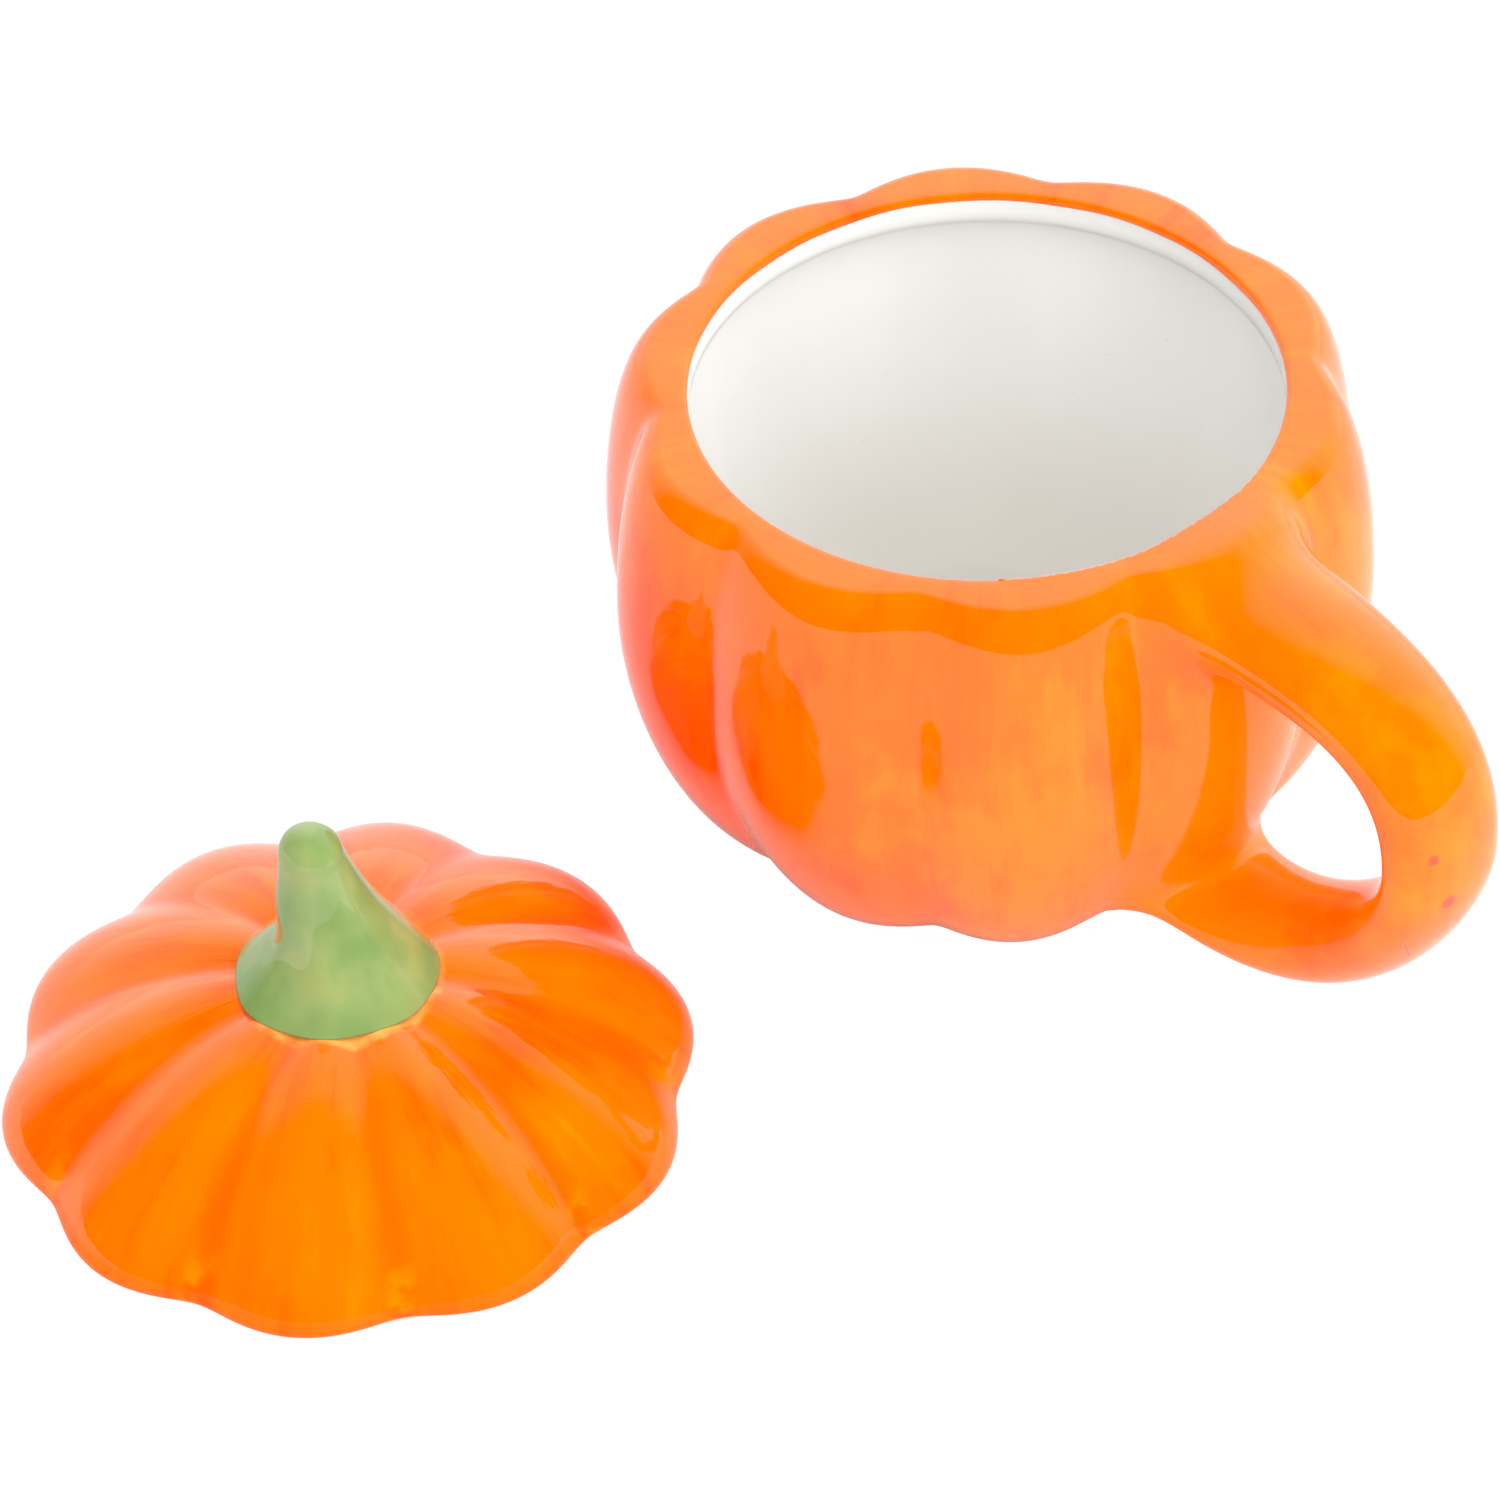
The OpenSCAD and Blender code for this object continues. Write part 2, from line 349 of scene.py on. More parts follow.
def clean_seam(mesh):
    """Welds the slivers that the union leaves along the seam and evens its triangles."""
    work = bmesh.new()
    work.from_mesh(mesh)
    places = np.array([vertex.co[:] for vertex in work.verts]) * MM_PER_M
    chosen = set(in_fillet(places).tolist())
    vertices = [vertex for vertex in work.verts if vertex.index in chosen]
    bmesh.ops.remove_doubles(work, verts=vertices, dist=WELD_MM * M_PER_MM)
    inner = [vertex for vertex in vertices if vertex.is_valid]
    faces = list(dict.fromkeys(face for vertex in inner for face in vertex.link_faces))
    made = bmesh.ops.triangulate(work, faces=faces)["faces"]
    edges = list(dict.fromkeys(edge for face in made for edge in face.edges if len(edge.link_faces) == 2))
    bmesh.ops.beautify_fill(work, faces=made, edges=edges)
    work.to_mesh(mesh)
    work.free()


def join_handle(wall, handle):
    """Joins the handle to the wall and fills the corner between them with a smooth fillet."""
    union = wall.modifiers.new("join", "BOOLEAN")
    union.operation = "UNION"
    union.solver = "MANIFOLD"
    union.object = handle
    bpy.context.view_layer.update()
    joined = bpy.data.meshes.new_from_object(wall.evaluated_get(bpy.context.evaluated_depsgraph_get()))
    wall.modifiers.clear()
    wall.data = joined
    bpy.data.objects.remove(handle)
    clean_seam(joined)
    flat = np.zeros(len(joined.vertices) * 3)
    joined.vertices.foreach_get("co", flat)
    points = flat.reshape(-1, 3) * MM_PER_M
    near = in_fillet(points)
    edges = np.zeros(len(joined.edges) * 2, int)
    joined.edges.foreach_get("vertices", edges)
    edges = edges.reshape(-1, 2)
    edges = np.vstack([edges, edges[:, ::-1]])
    edges = edges[np.isin(edges[:, 0], near)]
    count = np.bincount(edges[:, 0], minlength=len(points))[near, None]
    for _ in range(RELAX_ROUNDS):
        total = np.zeros_like(points)
        np.add.at(total, edges[:, 0], points[edges[:, 1]])
        points[near] += 0.5 * (total[near] / count - points[near])
        points[near] = onto_fillet(points[near])
    points[near] = onto_fillet(onto_fillet(points[near]))
    joined.vertices.foreach_set("co", (points * M_PER_MM).ravel())
    joined.shade_smooth()
    joined.update()
    return wall


# ---------------------------------------------------------------- white lining of the mug


def make_mug_lining():
    """The white inside, softly following the ribs, with the straight neck at its top."""
    neck_top = RIM_H - 0.95
    neck = np.array([[MOUTH_R, NECK_FOOT], [MOUTH_R, NECK_FOOT + 1], [MOUTH_R, neck_top]])
    neck_back = np.array([[MOUTH_R + LINING_T, NECK_FOOT], [MOUTH_R + LINING_T, neck_top]])
    inside = chain(lining_wall(LINING_T, 70), neck_step(LINING_T, 40), neck)
    outside = chain(lining_wall(0, 24), neck_step(0, 12), neck_back)
    outline = np.vstack([outside, inside[::-1]])
    radius, height = outline[:, :1], outline[:, 1:]
    inside_groove = 1.6
    rise = np.clip((height - FLOOR_H) / (NECK_FOOT - FLOOR_H), 0, 1)
    depth = inside_groove * np.sin(np.pi * rise) ** 1.5
    depth[:len(outside)] = 0
    drop = fall(mug_angles, MUG_TURN, 0.7)[None, :]
    points = ring_points(radius - depth * drop, height, mug_angles)
    return mesh_object("mug_white_lining", points, skin_faces(len(outline), AROUND))


# ---------------------------------------------------------------- lid

lid_angles = LID_TURN + np.linspace(0, 2 * math.pi, AROUND, endpoint=False)


def lip_curve(steps):
    """The lid's rounded lip, from the flat that it rests on to its widest point."""
    return cubic([[LID_R - REST_W, 0], [LID_R - 1.2, 0], [LID_R, 0.3 * LIP_H], [LID_R, LIP_H]], steps)


def dome_curve(steps):
    """Crest outline of the dome, from its widest point to the root of the stem."""
    return cubic([[LID_R, LIP_H], [LID_R - 0.4, LIP_H + 6.9], [32, DOME_H], [STEM_R - 0.5, DOME_H]], steps)


def hollow_curve(shrink, steps):
    """Outline of the hollow under the dome, drawn in by shrink, from its edge to its top."""
    angle = np.linspace(0, math.pi / 2, steps + 1)[:, None]
    return np.hstack([(HOLLOW_R - shrink) * np.cos(angle), (HOLLOW_H - shrink) * np.sin(angle)])


def make_lid_dome():
    """The lid's ribbed dome, closed above the hollow and under the stem."""
    lip, dome = lip_curve(20), dome_curve(120)
    root = np.array([[STEM_R - 4, DOME_H + 0.5]])
    hollow = hollow_curve(-HAIR, 24)[:-1]
    outline = np.vstack([hollow[::-1], [[COLLAR_R, 0]], lip, dome[1:], root])
    radius, height = outline[:, :1], outline[:, 1:]
    inward = np.clip((LID_R - radius) / (LID_R - STEM_R + 0.5), 0, 1)
    depth = LID_EDGE_GROOVE * (1 - inward) + LID_ROOT_GROOVE * inward
    share = np.clip(1 - (height - LIP_H) / (DOME_H - LIP_H), 0, 1) ** 1.5
    covered = len(hollow) + 1
    depth[:covered] = 0
    depth[-1] = 0
    across = depth * share
    down = depth * np.sqrt(1 - share * share)
    down[:covered + len(lip)] = 0
    drop = fall(lid_angles, LID_TURN, LID_SOFT)[None, :]
    points = ring_points(radius - across * drop, height - down * drop, lid_angles)
    return mesh_object("lid_dome", points, skin_faces(len(outline), AROUND), LID_AT)


def make_lid_lining():
    """The white underside of the dome."""
    outside = hollow_curve(0, 40)[:-1]
    inside = hollow_curve(LINING_T, 40)[:-1]
    outline = np.vstack([outside[::-1], inside])
    radius, height = outline[:, :1], outline[:, 1:]
    points = ring_points(np.repeat(radius, AROUND, 1), height, lid_angles)
    return mesh_object("lid_white_lining", points, skin_faces(len(outline), AROUND), LID_AT)


# ---------------------------------------------------------------- stem

TIP_R = 4.9
TIP_H = 4.9
STEM_LEAN = 3.2
LEAN_TURN = math.radians(205)
HOLLOW_TURN = math.radians(225)
PINCH = 2.1
FLARE = 0.9


def stem_path(steps):
    """Sections of the stem from root to tip: height, radius, lean."""
    shaft = cubic([[0, STEM_R + 0.5, 0], [0.2 * STEM_H, 0.83 * STEM_R, 0],
                   [0.37 * STEM_H, 0.53 * STEM_R, 0.3 * STEM_LEAN],
                   [STEM_H - TIP_H, TIP_R, 0.85 * STEM_LEAN]], steps)
    angle = np.linspace(0, math.pi / 2, 24)[1:-1, None]
    tip = np.hstack([STEM_H - TIP_H + TIP_H * np.sin(angle), TIP_R * np.cos(angle),
                     (0.85 + 0.15 * np.sin(angle)) * STEM_LEAN])
    return np.vstack([shaft, tip])


def make_stem():
    """The green stalk: pinched by hand on one side, flared at its root, its lower edge a little uneven."""
    path = stem_path(90)
    angle = np.linspace(0, 2 * math.pi, 180, endpoint=False)
    height, radius, lean = path[:, 0:1], path[:, 1:2], path[:, 2:3]
    pinched = np.clip(np.cos(angle - HOLLOW_TURN), 0, 1) ** 1.5
    pinch = PINCH * np.exp(-((height - 0.30 * STEM_H) / (0.17 * STEM_H)) ** 2)
    flare = FLARE * np.exp(-height / 2.2)
    folds = 0.28 * np.sin(3 * angle + 0.12 * height) + 0.16 * np.sin(7 * angle + 1 + 0.1 * height)
    ripple = folds * np.clip(radius / STEM_R, 0, 1) * np.clip((STEM_H - height) / TIP_H, 0, 1)
    skin_r = radius + (flare - pinch) * pinched + ripple
    x = lean * math.cos(LEAN_TURN) + skin_r * np.cos(angle)
    y = lean * math.sin(LEAN_TURN) + skin_r * np.sin(angle)
    z = np.broadcast_to(DOME_H + height, x.shape)
    points = np.stack([x, y, z], -1).reshape(-1, 3)
    return mesh_object("lid_stem", points, skin_faces(len(path), len(angle)), LID_AT)


# ---------------------------------------------------------------- materials: colours, then sides and places

DEEP_ORANGE = (0.93, 0.076, 0.0)
MID_ORANGE = (0.95, 0.132, 0.0)
THIN_ORANGE = (0.97, 0.195, 0.0)
PALE_EDGE = (0.95, 0.44, 0.10)
SPECK = (0.33, 0.015, 0.05)
WARM_WHITE = (0.81, 0.805, 0.785)
COOL_WHITE = (0.83, 0.83, 0.815)
# Painted shade for the bottom of the white inside.
BOTTOM_SHADE_WHITE = (0.69, 0.65, 0.58)
# Painted shade for the neck of the mouth, toning down the light it catches.
NECK_SHADE_WHITE = (0.60, 0.60, 0.58)
PIN_MARK = (0.55, 0.50, 0.42)
SAGE = (0.16, 0.255, 0.075)
PALE_SAGE = (0.24, 0.315, 0.11)
OLIVE = (0.31, 0.31, 0.08)
ROOT_GREEN = (0.14, 0.26, 0.07)
CLAY = (0.80, 0.76, 0.69)
STAINED_CLAY = (0.72, 0.66, 0.57)
CLAY_GRAIN = (0.5, 0.44, 0.36)
FLOOR_WHITE = (0.64, 0.64, 0.64, 1)
LID_SHEEN = (1.0, 0.98, 0.8, 1)

# Painted light and shade: the mug's glaze is painted paler on the side facing this way, where the key light
# falls, and deeper on the far side.
KEY_LIT_SIDE = (0.9, 0.42, 0)
# Painted shade: the lid's lip reflects less on the side facing this way, the camera's side, standing in for
# the shaded floor it mirrors.
DIMMED_REFLECTION_SIDE = (0.756, -0.655, 0)
RING_TURN = math.radians(-20)
SEAM_START = (96.9, -7.9, 38.5)
SEAM_STEP = (-1.1, 2.4, -4.7)
HANDLE_SPECKS = (((100.0, -6.1, 56.7), 1.3), ((100.9, -3.3, 47.0), 1.7))


def new_material(name):
    """A new node material: itself, its nodes and its links."""
    material = bpy.data.materials.new(name)
    material.use_nodes = True
    return material, material.node_tree.nodes, material.node_tree.links


def math_node(nodes, links, operation, *values):
    """A math node fed by sockets or plain numbers; returns its output."""
    node = nodes.new("ShaderNodeMath")
    node.operation = operation
    for socket, value in zip(node.inputs, values):
        if isinstance(value, bpy.types.NodeSocket):
            links.new(value, socket)
        else:
            socket.default_value = value
    return node.outputs["Value"]


def ramp_node(nodes, links, value, low, high, low_out, high_out, shape="SMOOTHSTEP"):
    """A clamped step between two values, smooth unless told otherwise."""
    node = nodes.new("ShaderNodeMapRange")
    node.interpolation_type = shape
    links.new(value, node.inputs["Value"])
    for socket, number in zip(node.inputs[1:], (low, high, low_out, high_out)):
        socket.default_value = number
    return node.outputs["Result"]


def vector_node(nodes, links, operation, first, second=None, scale=None):
    """A vector math node fed by a socket and a socket, triple or scale; returns the output it fills."""
    node = nodes.new("ShaderNodeVectorMath")
    node.operation = operation
    links.new(first, node.inputs[0])
    if isinstance(second, bpy.types.NodeSocket):
        links.new(second, node.inputs[1])
    elif second is not None:
        node.inputs[1].default_value = second
    if scale is not None:
        node.inputs["Scale"].default_value = scale
    return node.outputs["Value"] if operation in ("LENGTH", "DOT_PRODUCT") else node.outputs["Vector"]


def noise_node(nodes, links, vector, scale, detail=2.0, roughness=0.5):
    """Fractal noise from 0 to 1 over a vector in millimetres or in bare numbers."""
    node = nodes.new("ShaderNodeTexNoise")
    links.new(vector, node.inputs["Vector"])
    node.inputs["Scale"].default_value = scale
    node.inputs["Detail"].default_value = detail
    node.inputs["Roughness"].default_value = roughness
    return node.outputs["Fac"]


def blend_colour(nodes, links, share, first, second):
    """A colour between two colours, each a socket or a triple."""
    node = nodes.new("ShaderNodeMix")
    node.data_type = "RGBA"
    links.new(share, node.inputs[0])
    for socket, colour in zip((node.inputs[6], node.inputs[7]), (first, second)):
        if isinstance(colour, bpy.types.NodeSocket):
            links.new(colour, socket)
        else:
            socket.default_value = (*colour, 1)
    return node.outputs[2]


def turned_place(nodes, links, centre):
    """Place on a turned piece, in millimetres: vector, compass direction, distance from the axis, height."""
    at = nodes.new("ShaderNodeTexCoord").outputs["Object"]
    at_mm = vector_node(nodes, links, "SCALE", at, scale=MM_PER_M)
    place = vector_node(nodes, links, "SUBTRACT", at_mm, centre)
    level = vector_node(nodes, links, "MULTIPLY", place, (1, 1, 0))
    compass = vector_node(nodes, links, "NORMALIZE", level)
    reach = vector_node(nodes, links, "LENGTH", level)
    parts = nodes.new("ShaderNodeSeparateXYZ")
    links.new(place, parts.inputs[0])
    return place, compass, reach, parts.outputs["Z"]


def brush_vector(nodes, links, compass, along, around_scale, along_scale):
    """A vector that changes quickly round the axis and slowly along the brush stroke."""
    wide = vector_node(nodes, links, "SCALE", compass, scale=around_scale)
    rise = nodes.new("ShaderNodeCombineXYZ")
    links.new(math_node(nodes, links, "MULTIPLY", along, along_scale), rise.inputs["Z"])
    return vector_node(nodes, links, "ADD", wide, rise.outputs[0])


def add_bump(nodes, links, shader, height, strength, reach_mm):
    """Fine waviness of a surface that is already modelled."""
    bump = nodes.new("ShaderNodeBump")
    bump.inputs["Strength"].default_value = strength
    bump.inputs["Distance"].default_value = reach_mm * M_PER_MM
    links.new(height, bump.inputs["Height"])
    links.new(bump.outputs["Normal"], shader.inputs["Normal"])


def brushed_orange(nodes, links, place, compass, along, bias):
    """Orange glaze colour, deep where pooled and yellow where thin, and its strokes; bias shifts it between
    deep and yellow, and on the mug it carries painted light and shade.
    """
    patches = noise_node(nodes, links, place, 0.045, 3.0, 0.55)
    strokes = noise_node(nodes, links, brush_vector(nodes, links, compass, along, 9.0, 0.045), 1.0, 4.0, 0.6)
    fine = noise_node(nodes, links, brush_vector(nodes, links, compass, along, 40.0, 0.10), 1.0, 2.0, 0.6)
    broad = math_node(nodes, links, "MULTIPLY", patches, 0.55)
    mixed = math_node(nodes, links, "MULTIPLY_ADD", strokes, 0.45, broad)
    fine = math_node(nodes, links, "SUBTRACT", fine, 0.5)
    mixed = math_node(nodes, links, "MULTIPLY_ADD", fine, 0.12, mixed)
    mixed = math_node(nodes, links, "ADD", mixed, bias)
    middle = ramp_node(nodes, links, mixed, 0.30, 0.54, 0.0, 1.0)
    base = blend_colour(nodes, links, middle, DEEP_ORANGE, MID_ORANGE)
    thin = ramp_node(nodes, links, mixed, 0.54, 0.78, 0.0, 1.0)
    return blend_colour(nodes, links, thin, base, THIN_ORANGE), strokes


def glaze_shader(name, centre, roughness):
    """A material with its shader's roughness set, and the place on its turned piece."""
    material, nodes, links = new_material(name)
    shader = nodes["Principled BSDF"]
    shader.inputs["Roughness"].default_value = roughness
    return material, nodes, links, shader, turned_place(nodes, links, centre)


def seam_distance(nodes, links, place):
    """Distance in millimetres from the short mould seam under the handle's bend."""
    squared = sum(value * value for value in SEAM_STEP)
    from_start = vector_node(nodes, links, "SUBTRACT", place, SEAM_START)
    reach = vector_node(nodes, links, "DOT_PRODUCT", from_start, SEAM_STEP)
    share = ramp_node(nodes, links, reach, 0, squared, 0.0, 1.0, "LINEAR")
    step = nodes.new("ShaderNodeVectorMath")
    step.operation = "SCALE"
    step.inputs[0].default_value = SEAM_STEP
    links.new(share, step.inputs["Scale"])
    away = vector_node(nodes, links, "SUBTRACT", from_start, step.outputs[0])
    return vector_node(nodes, links, "LENGTH", away)


def mug_orange():
    """Orange glaze of the mug and its handle, with painted light and shade that makes it paler on the side
    facing the key light and deeper on the far side, two tiny iron specks and a trace of the mould seam.
    """
    material, nodes, links, shader, where = glaze_shader("orange_glaze_mug", (0, 0, 0), roughness=0.025)
    place, compass, reach, height = where
    # Painted light and shade: paler on the side facing the key light and deeper on the far side, most
    # strongly low down and only weakly on the handle.
    toward_lit_side = vector_node(nodes, links, "DOT_PRODUCT", compass, KEY_LIT_SIDE)
    side = math_node(nodes, links, "MULTIPLY", toward_lit_side, ramp_node(nodes, links, height, 50, 84, 0.32, 0.02))
    on_handle = ramp_node(nodes, links, reach, 64, 80, 0.0, 1.0)
    side = math_node(nodes, links, "MULTIPLY", side, ramp_node(nodes, links, on_handle, 0, 1, 1.0, 0.27))
    bias = math_node(nodes, links, "ADD", side, 0.045)
    colour, strokes = brushed_orange(nodes, links, place, compass, height, bias)
    mottle = noise_node(nodes, links, place, 0.11, 3.0, 0.6)
    mottle = ramp_node(nodes, links, mottle, 0.42, 0.66, 0.0, 0.5)
    yellow = math_node(nodes, links, "MULTIPLY", on_handle, mottle)
    colour = blend_colour(nodes, links, yellow, colour, THIN_ORANGE)
    for speck, radius in HANDLE_SPECKS:
        away = vector_node(nodes, links, "LENGTH", vector_node(nodes, links, "SUBTRACT", place, speck))
        share = ramp_node(nodes, links, away, 0.4 * radius, radius, 0.6, 0.0)
        colour = blend_colour(nodes, links, share, colour, SPECK)
    seam = ramp_node(nodes, links, seam_distance(nodes, links, place), 0.08, 0.2, 0.7, 0.0)
    colour = blend_colour(nodes, links, seam, colour, SPECK)
    links.new(colour, shader.inputs["Base Color"])
    ripples = math_node(nodes, links, "ADD", noise_node(nodes, links, place, 0.10, 2.0), strokes)
    add_bump(nodes, links, shader, ripples, strength=0.5, reach_mm=0.10)
    return material


def lid_orange():
    """Orange glaze of the lid: brushed outward, deep in the grooves, pale by the stem, thin at its lip."""
    material, nodes, links, shader, where = glaze_shader("orange_glaze_lid", LID_AT, roughness=0.03)
    place, compass, reach, height = where
    colour, strokes = brushed_orange(nodes, links, place, compass, reach, -0.005)
    parts = nodes.new("ShaderNodeSeparateXYZ")
    links.new(compass, parts.inputs[0])
    angle = math_node(nodes, links, "ARCTAN2", parts.outputs["Y"], parts.outputs["X"])
    turned = math_node(nodes, links, "SUBTRACT", angle, LID_TURN)
    turned = math_node(nodes, links, "MULTIPLY", turned, RIBS / 2)
    from_groove = math_node(nodes, links, "ABSOLUTE", math_node(nodes, links, "SINE", turned))
    groove = ramp_node(nodes, links, from_groove, 0.05, 0.45, 1.0, 0.0)
    pooled = math_node(nodes, links, "MULTIPLY", groove, ramp_node(nodes, links, reach, 20, 40, 0.2, 0.6))
    colour = blend_colour(nodes, links, pooled, colour, DEEP_ORANGE)
    worn = math_node(nodes, links, "MULTIPLY", ramp_node(nodes, links, from_groove, 0.1, 0.4, 1.0, 0.0),
                     ramp_node(nodes, links, reach, 44, 49, 0.0, 0.75))
    patchy = ramp_node(nodes, links, noise_node(nodes, links, place, 0.22, 3.0), 0.42, 0.6, 0.0, 1.0)
    worn = math_node(nodes, links, "MULTIPLY", worn, patchy)
    colour = blend_colour(nodes, links, worn, colour, THIN_ORANGE)
    ragged = math_node(nodes, links, "MULTIPLY_ADD", noise_node(nodes, links, place, 0.28, 2.0), 3.4, reach)
    ring = ramp_node(nodes, links, ragged, STEM_R + 1.5, STEM_R + 3.8, 0.85, 0.0)
    side = vector_node(nodes, links, "DOT_PRODUCT", compass, (math.cos(RING_TURN), math.sin(RING_TURN), 0))
    ring = math_node(nodes, links, "MULTIPLY", ring, ramp_node(nodes, links, side, -0.1, 0.7, 0.15, 1.0))
    colour = blend_colour(nodes, links, ring, colour, PALE_EDGE)
    links.new(colour, shader.inputs["Base Color"])
    # Painted shade: the lip's reflection is turned down on the side facing the camera, standing in for the
    # shaded floor that it mirrors.
    front = vector_node(nodes, links, "DOT_PRODUCT", compass, DIMMED_REFLECTION_SIDE)
    dimmed_reflection = math_node(nodes, links, "MULTIPLY", ramp_node(nodes, links, height, 3.5, 6.0, 1.0, 0.0),
                      ramp_node(nodes, links, front, 0.2, 0.7, 0.0, 1.0))
    links.new(ramp_node(nodes, links, dimmed_reflection, 0, 1, 0.5, 0.1), shader.inputs["Specular IOR Level"])
    shader.inputs["Specular Tint"].default_value = LID_SHEEN
    ripples = math_node(nodes, links, "ADD", noise_node(nodes, links, place, 0.14, 3.0), strokes)
    add_bump(nodes, links, shader, ripples, strength=0.6, reach_mm=0.16)
    return material


def white_glaze(name, centre, neck_h):
    """Clear glaze over white clay: warm, faintly banded, with tiny pin marks, and painted shade that makes it
    darker and warmer towards the bottom and greyer at the neck.
    """
    material, nodes, links, shader, where = glaze_shader(name, centre, roughness=0.06)
    place, compass, _, height = where
    clouds = noise_node(nodes, links, place, 0.03, 2.0)
    bands = noise_node(nodes, links, brush_vector(nodes, links, compass, height, 3.0, 0.01), 1.0, 3.0)
    share = math_node(nodes, links, "MULTIPLY", math_node(nodes, links, "ADD", clouds, bands), 0.5)
    cool = ramp_node(nodes, links, share, 0.35, 0.65, 0.0, 1.0)
    colour = blend_colour(nodes, links, cool, WARM_WHITE, COOL_WHITE)
    pits = ramp_node(nodes, links, noise_node(nodes, links, place, 1.1, 1.0), 0.76, 0.80, 0.0, 0.25)
    colour = blend_colour(nodes, links, pits, colour, PIN_MARK)
    # Painted shade: darker and warmer towards the bottom of the inside.
    deep = ramp_node(nodes, links, height, 5, 50, 0.75, 0.0)
    colour = blend_colour(nodes, links, deep, colour, BOTTOM_SHADE_WHITE)
    # Painted shade: the neck is painted greyer to tone down the light it catches.
    neck = ramp_node(nodes, links, height, neck_h - 1.5, neck_h + 0.5, 0.0, 0.8)
    colour = blend_colour(nodes, links, neck, colour, NECK_SHADE_WHITE)
    links.new(colour, shader.inputs["Base Color"])
    waves = math_node(nodes, links, "ADD", bands, clouds)
    add_bump(nodes, links, shader, waves, strength=0.5, reach_mm=0.25)
    return material


def green_glaze():
    """Sage green, brushed upward, olive where thin and deeper towards the root."""
    material, nodes, links, shader, where = glaze_shader("green_glaze_stem", LID_AT, roughness=0.05)
    place, height = where[0], where[3]
    upward = vector_node(nodes, links, "MULTIPLY", place, (0.16, 0.16, 0.03))
    strokes = noise_node(nodes, links, upward, 1.0, 3.0, 0.5)
    clouds = noise_node(nodes, links, place, 0.10, 2.0, 0.5)
    mixed = math_node(nodes, links, "MULTIPLY", math_node(nodes, links, "ADD", strokes, clouds), 0.5)
    pale = ramp_node(nodes, links, mixed, 0.36, 0.62, 0.0, 1.0)
    colour = blend_colour(nodes, links, pale, SAGE, PALE_SAGE)
    olive = ramp_node(nodes, links, clouds, 0.50, 0.74, 0.0, 0.35)
    colour = blend_colour(nodes, links, olive, colour, OLIVE)
    low = ramp_node(nodes, links, height, DOME_H + 1, DOME_H + 6, 0.35, 0.0)
    colour = blend_colour(nodes, links, low, colour, ROOT_GREEN)
    links.new(colour, shader.inputs["Base Color"])
    add_bump(nodes, links, shader, mixed, strength=0.5, reach_mm=0.25)
    return material


def bare_clay():
    """Unglazed fired clay: matt, pale and finely grained."""
    material, nodes, links, shader, where = glaze_shader("bare_clay", (0, 0, 0), roughness=0.75)
    place = where[0]
    grain = noise_node(nodes, links, place, 2.2, 4.0, 0.7)
    stain = ramp_node(nodes, links, noise_node(nodes, links, place, 0.12, 3.0), 0.35, 0.65, 0.0, 1.0)
    colour = blend_colour(nodes, links, stain, CLAY, STAINED_CLAY)
    dark = ramp_node(nodes, links, grain, 0.6, 0.75, 0.0, 0.35)
    colour = blend_colour(nodes, links, dark, colour, CLAY_GRAIN)
    links.new(colour, shader.inputs["Base Color"])
    add_bump(nodes, links, shader, grain, strength=0.4, reach_mm=0.08)
    return material


def dress(obj, material, body, slot, *nodes):
    """Gives a piece its material and its body, and hides the CAD nodes it stands for."""
    obj.data.materials.clear()
    obj.data.materials.append(material)
    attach(obj, body)
    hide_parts(*nodes)


# ---------------------------------------------------------------- pieces

mug_wall = join_handle(make_mug_wall(), make_handle())
dress(mug_wall, mug_orange(), "mug", "orange_glaze", "mug_shell", "handle")
mug_white = white_glaze("white_glaze_mug", (0, 0, 0), NECK_FOOT)
dress(make_mug_lining(), mug_white, "mug", "white_glaze", "mug_lining")
dress(make_lid_dome(), lid_orange(), "lid", "orange_glaze", "lid_shell")
lid_white = white_glaze("white_glaze_lid", LID_AT, RIM_H)
dress(make_lid_lining(), lid_white, "lid", "white_glaze", "lid_lining")
dress(make_stem(), green_glaze(), "lid", "green_glaze", "stem")
clay = bare_clay()
for node in ("foot_ring", "lid_collar"):
    for material_slot in frame["nodes"][node].material_slots:
        material_slot.material = clay

# ---------------------------------------------------------------- stage, light and camera

SWEEP_TURN = math.radians(131)
SWEEP_GLOW = 1.75
KEY_AXIS = (0.893, 0.416, 0.174)
KEY_LOW = 0.55
KEY_HIGH = 2.95
FLOOR_HALF_M = 6.0
FLOOR_GLOW = 1.06
FLOOR_GLOW_SHARE = 0.92
CAMERA_AZIMUTH = math.radians(49.1)
CAMERA_ELEVATION = math.radians(42.7)
CAMERA_ROLL = math.radians(-2.25)
CAMERA_TARGET_M = np.array([-0.03345, -0.02125, 0.0])
CAMERA_DISTANCE_M = 1.1
CAMERA_LENS_MM = 164
CAMERA_SENSOR_MM = 36


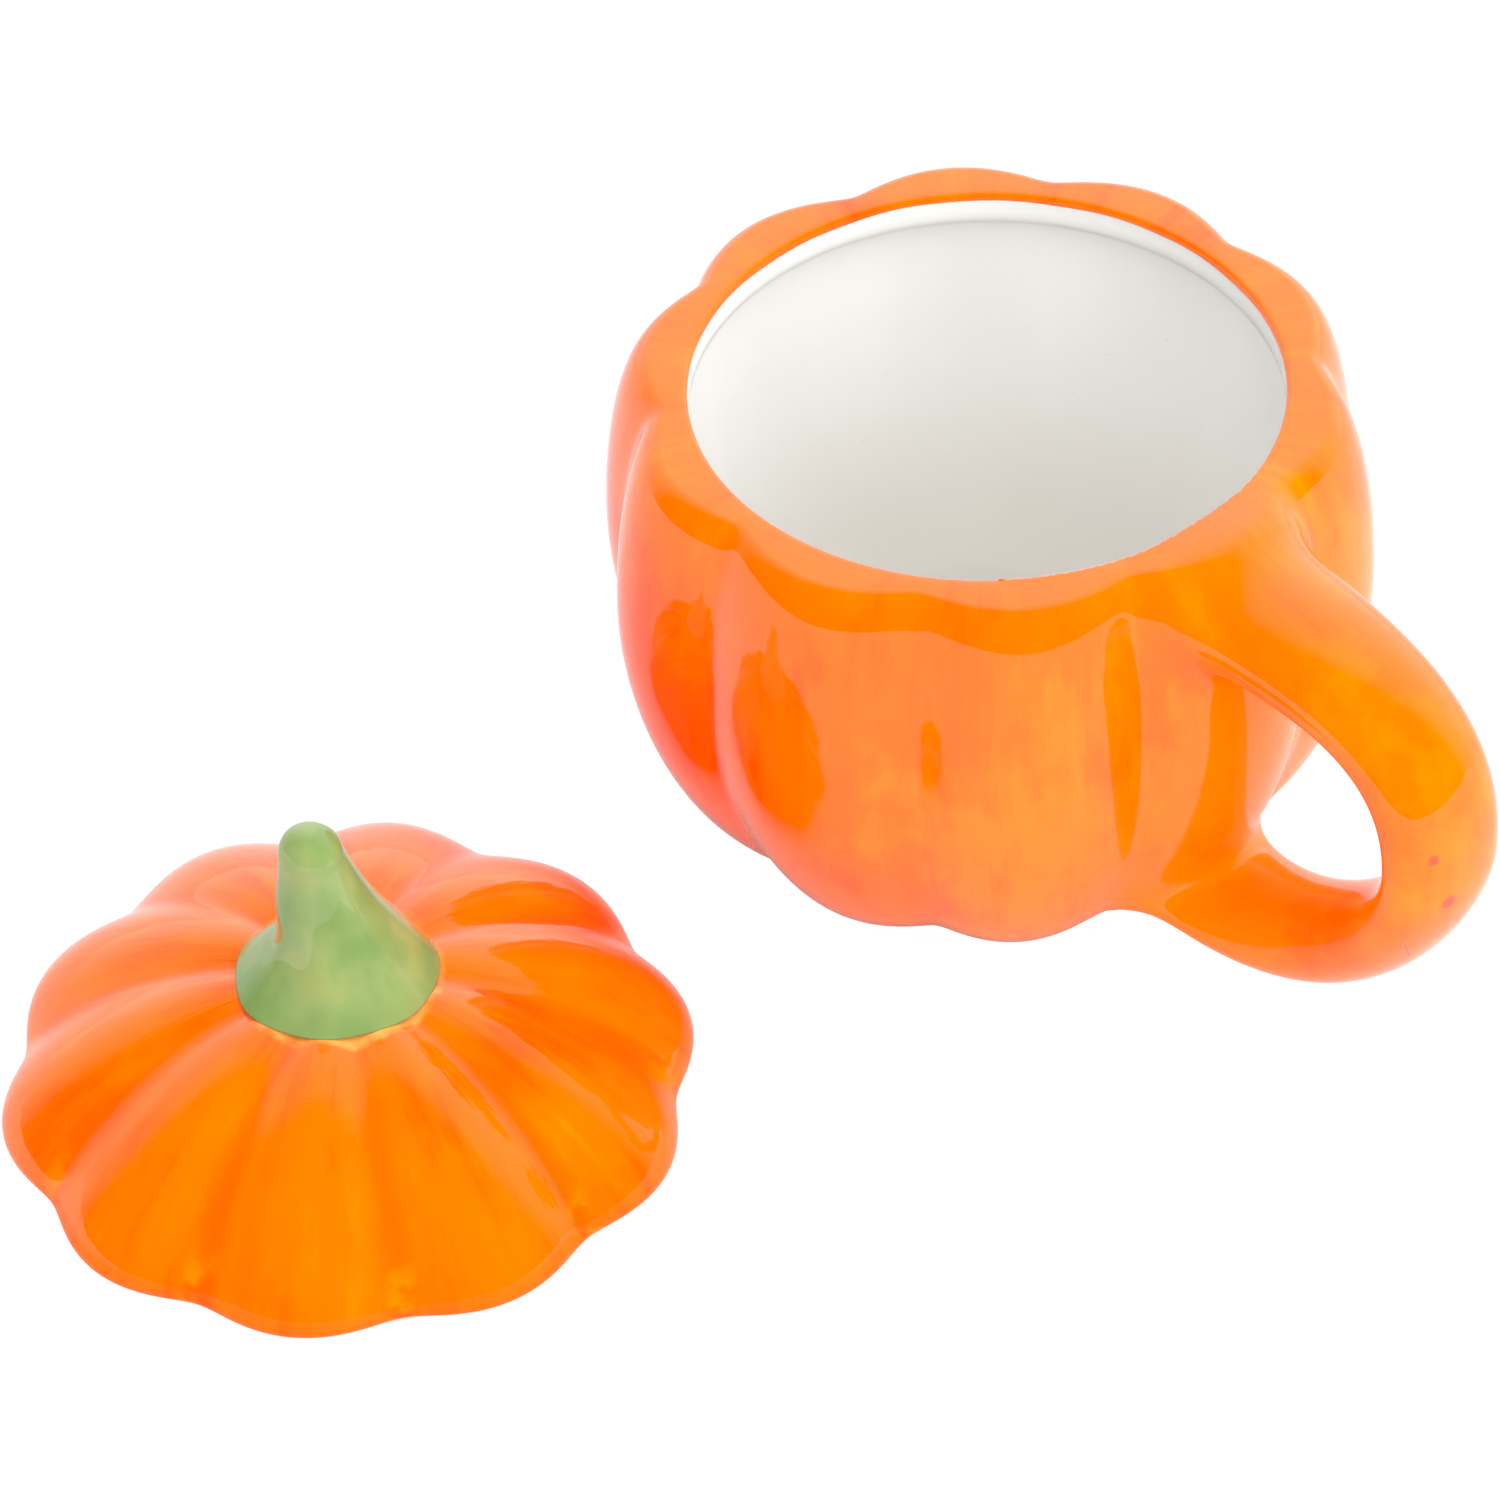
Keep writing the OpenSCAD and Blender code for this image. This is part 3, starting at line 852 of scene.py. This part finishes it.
def make_floor():
    """A white table that the camera sees as nearly shadowless, as on a lit sweep."""
    half = FLOOR_HALF_M
    corners = [(-half, -half, 0), (half, -half, 0), (half, half, 0), (-half, half, 0)]
    mesh = bpy.data.meshes.new("floor")
    mesh.from_pydata(corners, [], [(0, 1, 2, 3)])
    floor = bpy.data.objects.new("floor", mesh)
    bpy.context.scene.collection.objects.link(floor)
    material, nodes, links = new_material("floor_white")
    shader = nodes["Principled BSDF"]
    shader.inputs["Base Color"].default_value = FLOOR_WHITE
    shader.inputs["Roughness"].default_value = 1.0
    shader.inputs["Specular IOR Level"].default_value = 0.0
    glow = nodes.new("ShaderNodeEmission")
    glow.inputs["Strength"].default_value = FLOOR_GLOW
    path = nodes.new("ShaderNodeLightPath")
    share = math_node(nodes, links, "MULTIPLY", path.outputs["Is Camera Ray"], FLOOR_GLOW_SHARE)
    mix = nodes.new("ShaderNodeMixShader")
    links.new(share, mix.inputs["Fac"])
    links.new(shader.outputs["BSDF"], mix.inputs[1])
    links.new(glow.outputs["Emission"], mix.inputs[2])
    links.new(mix.outputs["Shader"], nodes["Material Output"].inputs["Surface"])
    floor.data.materials.append(material)


def make_world():
    """Soft white light; in reflections, a lit sweep behind the object and a dark room behind the camera."""
    world = bpy.data.worlds.new("studio")
    bpy.context.scene.world = world
    world.use_nodes = True
    nodes, links = world.node_tree.nodes, world.node_tree.links
    background = nodes["Background"]
    background.inputs["Color"].default_value = (1, 1, 1, 1)
    direction = nodes.new("ShaderNodeTexCoord").outputs["Generated"]
    sweep_axis = (math.cos(SWEEP_TURN), math.sin(SWEEP_TURN), 0)
    toward_sweep = vector_node(nodes, links, "DOT_PRODUCT", direction, sweep_axis)
    edge = ramp_node(nodes, links, toward_sweep, 0.05, 0.25, 0.0, 1.0)
    glow = ramp_node(nodes, links, toward_sweep, 0.05, 0.8, 0.25, SWEEP_GLOW, "LINEAR")
    sweep = math_node(nodes, links, "MULTIPLY", edge, glow)
    path = nodes.new("ShaderNodeLightPath")
    mix = nodes.new("ShaderNodeMix")
    links.new(path.outputs["Is Glossy Ray"], mix.inputs["Factor"])
    toward_key = vector_node(nodes, links, "DOT_PRODUCT", direction, KEY_AXIS)
    links.new(ramp_node(nodes, links, toward_key, -1, 1, KEY_LOW, KEY_HIGH, "LINEAR"), mix.inputs["A"])
    links.new(sweep, mix.inputs["B"])
    links.new(mix.outputs["Result"], background.inputs["Strength"])


def make_camera():
    """A long lens that looks down into the mug, with a slight roll."""
    east, north = math.cos(CAMERA_AZIMUTH), math.sin(CAMERA_AZIMUTH)
    level, rise = math.cos(CAMERA_ELEVATION), math.sin(CAMERA_ELEVATION)
    back = np.array([north * level, -east * level, rise])
    right = np.array([east, north, 0.0])
    up = np.cross(back, right)
    turned_right = math.cos(CAMERA_ROLL) * right + math.sin(CAMERA_ROLL) * up
    turned_up = -math.sin(CAMERA_ROLL) * right + math.cos(CAMERA_ROLL) * up
    place = Vector(CAMERA_TARGET_M + CAMERA_DISTANCE_M * back)
    turn = Matrix(np.column_stack([turned_right, turned_up, back]).tolist())
    camera = bpy.data.objects.new("camera", bpy.data.cameras.new("camera"))
    bpy.context.scene.collection.objects.link(camera)
    camera.matrix_world = Matrix.LocRotScale(place, turn, None)
    camera.data.sensor_width = CAMERA_SENSOR_MM
    camera.data.lens = CAMERA_LENS_MM
    bpy.context.scene.camera = camera


make_floor()
make_world()
make_camera()
bpy.context.scene.view_settings.view_transform = "Standard"
